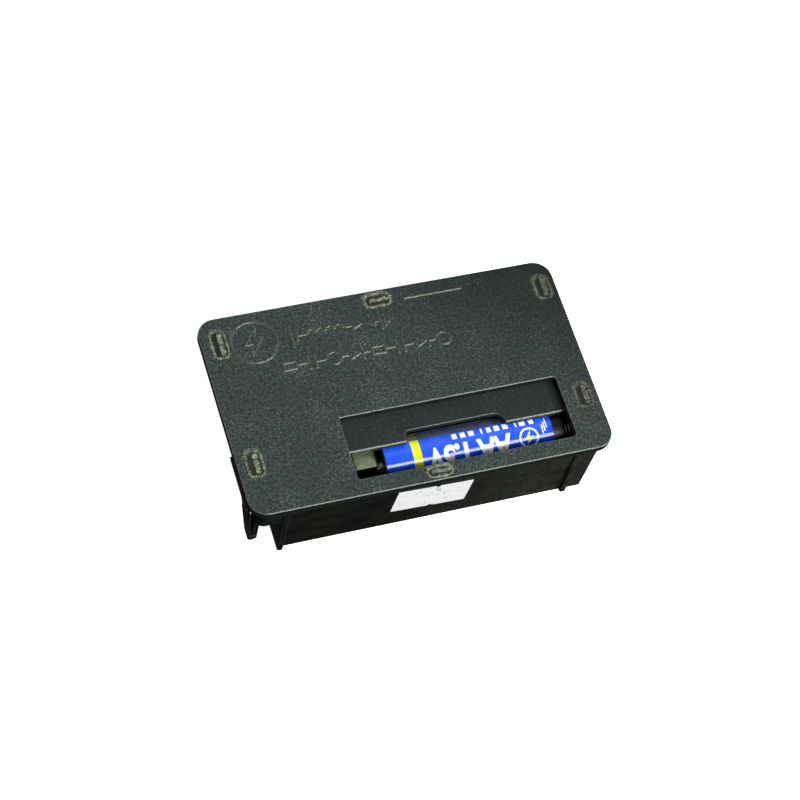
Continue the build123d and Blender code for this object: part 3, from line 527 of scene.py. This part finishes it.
def battery_spring():
    """Conical compression spring between the contact plate and the cell's flat end."""
    low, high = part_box("negative_spring")
    wire_radius = 0.35 * MM
    first, last = low.x + wire_radius, high.x - wire_radius
    middle_y, middle_z = (low.y + high.y) / 2, (low.z + high.z) / 2
    outer = (high.y - low.y) / 2 - wire_radius
    points = []
    turns, steps = 3.4, 40
    narrowing = 0.28
    dead_turn = 0.1
    for i in range(int(turns * steps) + 1):
        share = i / (turns * steps)
        angle = 2 * math.pi * turns * share
        radius = outer * (1 - narrowing * (1 - share))
        rise = min(max((share - dead_turn) / (1 - 2 * dead_turn), 0), 1)
        points.append((first + (last - first) * rise, middle_y + radius * math.sin(angle),
                       middle_z + radius * math.cos(angle)))
    return wire(points, wire_radius)


spring = as_object("wound_spring", battery_spring(), finishes["spring_steel"], "housing",
                   ["negative_spring"])
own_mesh(spring)


# ---------------------------------------------------------------- print on the cell

def wrapped(mesh, x_mm, turn_deg, lift_mm=0.02):
    """Bends flat print round the cell: its width runs along -X and its height towards -Y."""
    shape = bmesh.new()
    shape.from_mesh(mesh)
    lows = min(v.co.y for v in shape.verts)
    highs = max(v.co.y for v in shape.verts)
    cuts = int((highs - lows) / (0.2 * MM))
    for i in range(1, cuts + 1):
        height = lows + (highs - lows) * i / (cuts + 1)
        bmesh.ops.bisect_plane(shape, geom=shape.verts[:] + shape.edges[:] + shape.faces[:],
                               plane_co=(0, height, 0), plane_no=(0, 1, 0), dist=1e-7)
    for vertex in shape.verts:
        radius = CELL_RADIUS + lift_mm * MM + vertex.co.z
        angle = math.radians(turn_deg) - vertex.co.y / CELL_RADIUS
        vertex.co = (x_mm * MM - vertex.co.x, CELL_Y + radius * math.sin(angle), CELL_Z + radius * math.cos(angle))
    bmesh.ops.recalc_face_normals(shape, faces=shape.faces)
    shape.to_mesh(mesh)
    shape.free()
    return mesh


def lettering(words, height_mm, width_mm, bold_mm):
    """Thick plain lettering as a closed mesh, this tall and this wide."""
    text = bpy.data.curves.new("words", "FONT")
    text.body = words
    text.size = 10 * MM
    text.offset = bold_mm * MM
    text.extrude = 0.008 * MM
    carrier = bpy.data.objects.new("words", text)
    bpy.context.collection.objects.link(carrier)
    mesh = mesh_of(carrier)
    lows = [min(v.co[axis] for v in mesh.vertices) for axis in (0, 1)]
    highs = [max(v.co[axis] for v in mesh.vertices) for axis in (0, 1)]
    mesh.transform(Matrix.Translation((-lows[0], -lows[1], 0)))
    mesh.transform(Matrix.Diagonal((width_mm * MM / (highs[0] - lows[0]), height_mm * MM / (highs[1] - lows[1]), 1, 1)))
    return mesh


def plate(outline, holes=()):
    """A thin closed plate from a flat outline in millimetres, with holes."""
    curve = bpy.data.curves.new("plate", "CURVE")
    curve.dimensions = "2D"
    curve.fill_mode = "BOTH"
    curve.extrude = 0.008 * MM
    for loop in (outline, *holes):
        spline = curve.splines.new("POLY")
        spline.use_cyclic_u = True
        spline.points.add(len(loop) - 1)
        for point, (x, y) in zip(spline.points, loop):
            point.co = (x * MM, y * MM, 0, 1)
    carrier = bpy.data.objects.new("plate", curve)
    bpy.context.collection.objects.link(carrier)
    return mesh_of(carrier)


def circle(x, y, radius, count=48):
    """Points round a circle."""
    turns = [2 * math.pi * i / count for i in range(count)]
    return [(x + radius * math.cos(t), y + radius * math.sin(t)) for t in turns]


def rectangle(x, y, width, height):
    """Corners of a rectangle from its lower left corner."""
    return [(x, y), (x + width, y), (x + width, y + height), (x, y + height)]


# Flat outlines in millimetres: a lightning bolt and a plus sign
BOLT = [(0.9, 2.1), (-1.3, -0.3), (-0.2, -0.3), (-0.7, -2.1), (1.3, 0.4), (0.25, 0.4)]
PLUS = [(-0.9, -0.25), (-0.25, -0.25), (-0.25, -0.9), (0.25, -0.9), (0.25, -0.25), (0.9, -0.25),
        (0.9, 0.25), (0.25, 0.25), (0.25, 0.9), (-0.25, 0.9), (-0.25, 0.25), (-0.9, 0.25)]
BAR_WIDTHS = (1.3, 1.6, 0.5, 1.5, 1.5, 1.2, 0.5, 1.5, 1.4, 1.3)
BAR_PITCH = 2.35
EMBLEM_X = 28.8
EMBLEM_TURN = -26


def mark(name, mesh, x_mm, turn_deg, ink=white_ink):
    """Lays one print mark on the cell."""
    as_object(name, wrapped(mesh, x_mm, turn_deg), ink, "cell")


mark("print_size_marking", lettering("AA 1.5V", 6.8, 23.2, 0.42), 24.0, -8)
mark("print_ring", plate(circle(0, 0, 2.7), [circle(0, 0, 2.2)]), EMBLEM_X, EMBLEM_TURN)
mark("print_bolt", plate(BOLT), EMBLEM_X, EMBLEM_TURN, yellow_ink)
for i, width in enumerate(BAR_WIDTHS):
    mark(f"print_bar_{i + 1}", plate(rectangle(0, 0, width, 1.6)), 31.0 - BAR_PITCH * i, 14)
for i in range(3):
    mark(f"print_tick_{i + 1}", plate(rectangle(0, 0, 0.35, 2.6)), 34.2 - 0.6 * i, 8 - 6 * i)
mark("print_plus", plate(PLUS), -6.4, 110)


# ---------------------------------------------------------------- studio

def lamp(name, toward, distance, size, watts, tint="ffffff"):
    """Square soft light in that direction from the part, aimed at it."""
    light = bpy.data.lights.new(name, "AREA")
    light.shape = "RECTANGLE"
    light.size, light.size_y = size
    light.energy = watts
    light.color = colour(tint)[:3]
    holder = bpy.data.objects.new(name, light)
    bpy.context.collection.objects.link(holder)
    heading = Vector(toward).normalized()
    holder.location = heading * distance
    holder.rotation_euler = (-heading).to_track_quat("-Z", "Y").to_euler()
    return holder


def sweep():
    """Pale floor and the backdrop round it. They are seen, but the part isn't lit by them."""
    bpy.ops.mesh.primitive_uv_sphere_add(segments=64, ring_count=32, radius=4.0)
    dome = bpy.context.object
    dome.name = "backdrop"
    for vertex in dome.data.vertices:
        vertex.co.z = max(vertex.co.z, -0.0002)
    dome.data.materials.append(material("pale_paper_sweep", shop_floor))
    dome.visible_diffuse = False
    dome.visible_glossy = False
    dome.visible_shadow = False


def studio_camera(aim, distance, azimuth, elevation, roll, lens):
    """Camera by where it looks, how far off it is, its two angles and its roll."""
    a, e, r = (math.radians(v) for v in (azimuth, elevation, roll))
    back = Vector((math.sin(a) * math.cos(e), -math.cos(a) * math.cos(e), math.sin(e)))
    level = Vector((math.cos(a), math.sin(a), 0))
    rise = back.cross(level)
    right = level * math.cos(r) + rise * math.sin(r)
    up = back.cross(right)
    lens_data = bpy.data.cameras.new("studio_camera")
    lens_data.lens = lens
    lens_data.sensor_width = 36
    lens_data.clip_start = 0.01
    lens_data.clip_end = 50
    camera = bpy.data.objects.new("studio_camera", lens_data)
    bpy.context.collection.objects.link(camera)
    turned = Matrix((right, up, back)).transposed().to_4x4()
    camera.matrix_world = Matrix.Translation(Vector(aim) + back * distance) @ turned
    bpy.context.scene.camera = camera


def studio_air(below, above):
    """Even grey light, brighter from above than from below."""
    world = bpy.data.worlds.new("studio_air")
    world.use_nodes = True
    tree = world.node_tree
    tree.nodes.clear()
    heading = add(tree, "ShaderNodeSeparateXYZ", {0: add(tree, "ShaderNodeTexCoord").outputs["Generated"]})
    height = add(tree, "ShaderNodeMapRange", {"Value": heading.outputs["Z"], "From Min": -0.3, "From Max": 0.5,
                                              "To Min": below, "To Max": above})
    add(tree, "ShaderNodeOutputWorld", {"Surface": add(tree, "ShaderNodeBackground", {"Strength": height})})
    bpy.context.scene.world = world


studio_air(below=0.05, above=0.3)
lamp("side_box", (0.65, -0.50, 0.60), 1.2, (0.26, 0.26), 11)
lamp("front_box", (0.27, -0.70, 0.72), 1.1, (0.5, 0.62), 10)
lamp("back_card", (0.27, 0.44, 0.86), 1.1, (0.6, 0.6), 0.4)
lamp("rear_box", (-0.45, 0.85, 0.22), 1.3, (0.7, 0.5), 4.5)
sweep()
studio_camera(aim=(-2.88 * MM, -4.51 * MM, 24.0 * MM), distance=587.5 * MM,
              azimuth=-31.2, elevation=58.8, roll=16.47, lens=102.87)
bpy.context.scene.view_settings.view_transform = "Standard"
